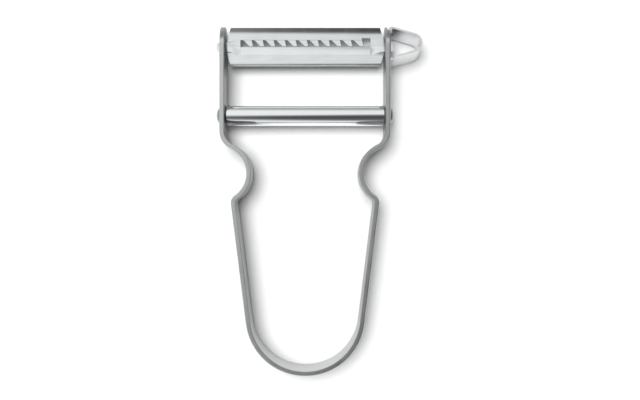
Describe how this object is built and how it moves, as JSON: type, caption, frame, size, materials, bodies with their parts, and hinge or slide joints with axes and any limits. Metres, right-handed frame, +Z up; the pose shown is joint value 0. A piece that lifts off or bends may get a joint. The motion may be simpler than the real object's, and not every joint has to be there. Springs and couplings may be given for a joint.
{
  "type": "julienne peeler",
  "caption": "Hand peeler with a bent aluminium strip handle, a crossbar, a swivelling toothed julienne blade and an eye-remover loop outside one arm.",
  "frame": {"origin": "middle of the surface that the peeler lies on, under the centre of its bounding box", "axes": "+Y from the grip towards the blade, +Z up from the back edges of the strip to its cutting side, +X towards the eye remover"},
  "size_m": [0.067, 0.113, 0.013],
  "materials": {
    "handle_aluminium": "satin tumbled",
    "crossbar_aluminium": "polished",
    "blade_steel": "fine ground",
    "eye_remover_steel": "fine ground",
    "rivet_aluminium": "satin"
  },
  "bodies": {
    "handle": {"handle_bow": "handle_aluminium", "crossbar": "crossbar_aluminium", "eye_remover": "eye_remover_steel", "eye_remover_rivet_1": "rivet_aluminium", "eye_remover_rivet_2": "rivet_aluminium"},
    "blade": {"julienne_blade": "blade_steel"}
  },
  "joints": [
    {"name": "blade_swivel", "type": "hinge", "parent": "handle", "child": "blade", "pos_m": [-0.00439, 0.05005, 0.0065], "axis": [1, 0, 0], "range_deg": [-45, 45]}
  ]
}
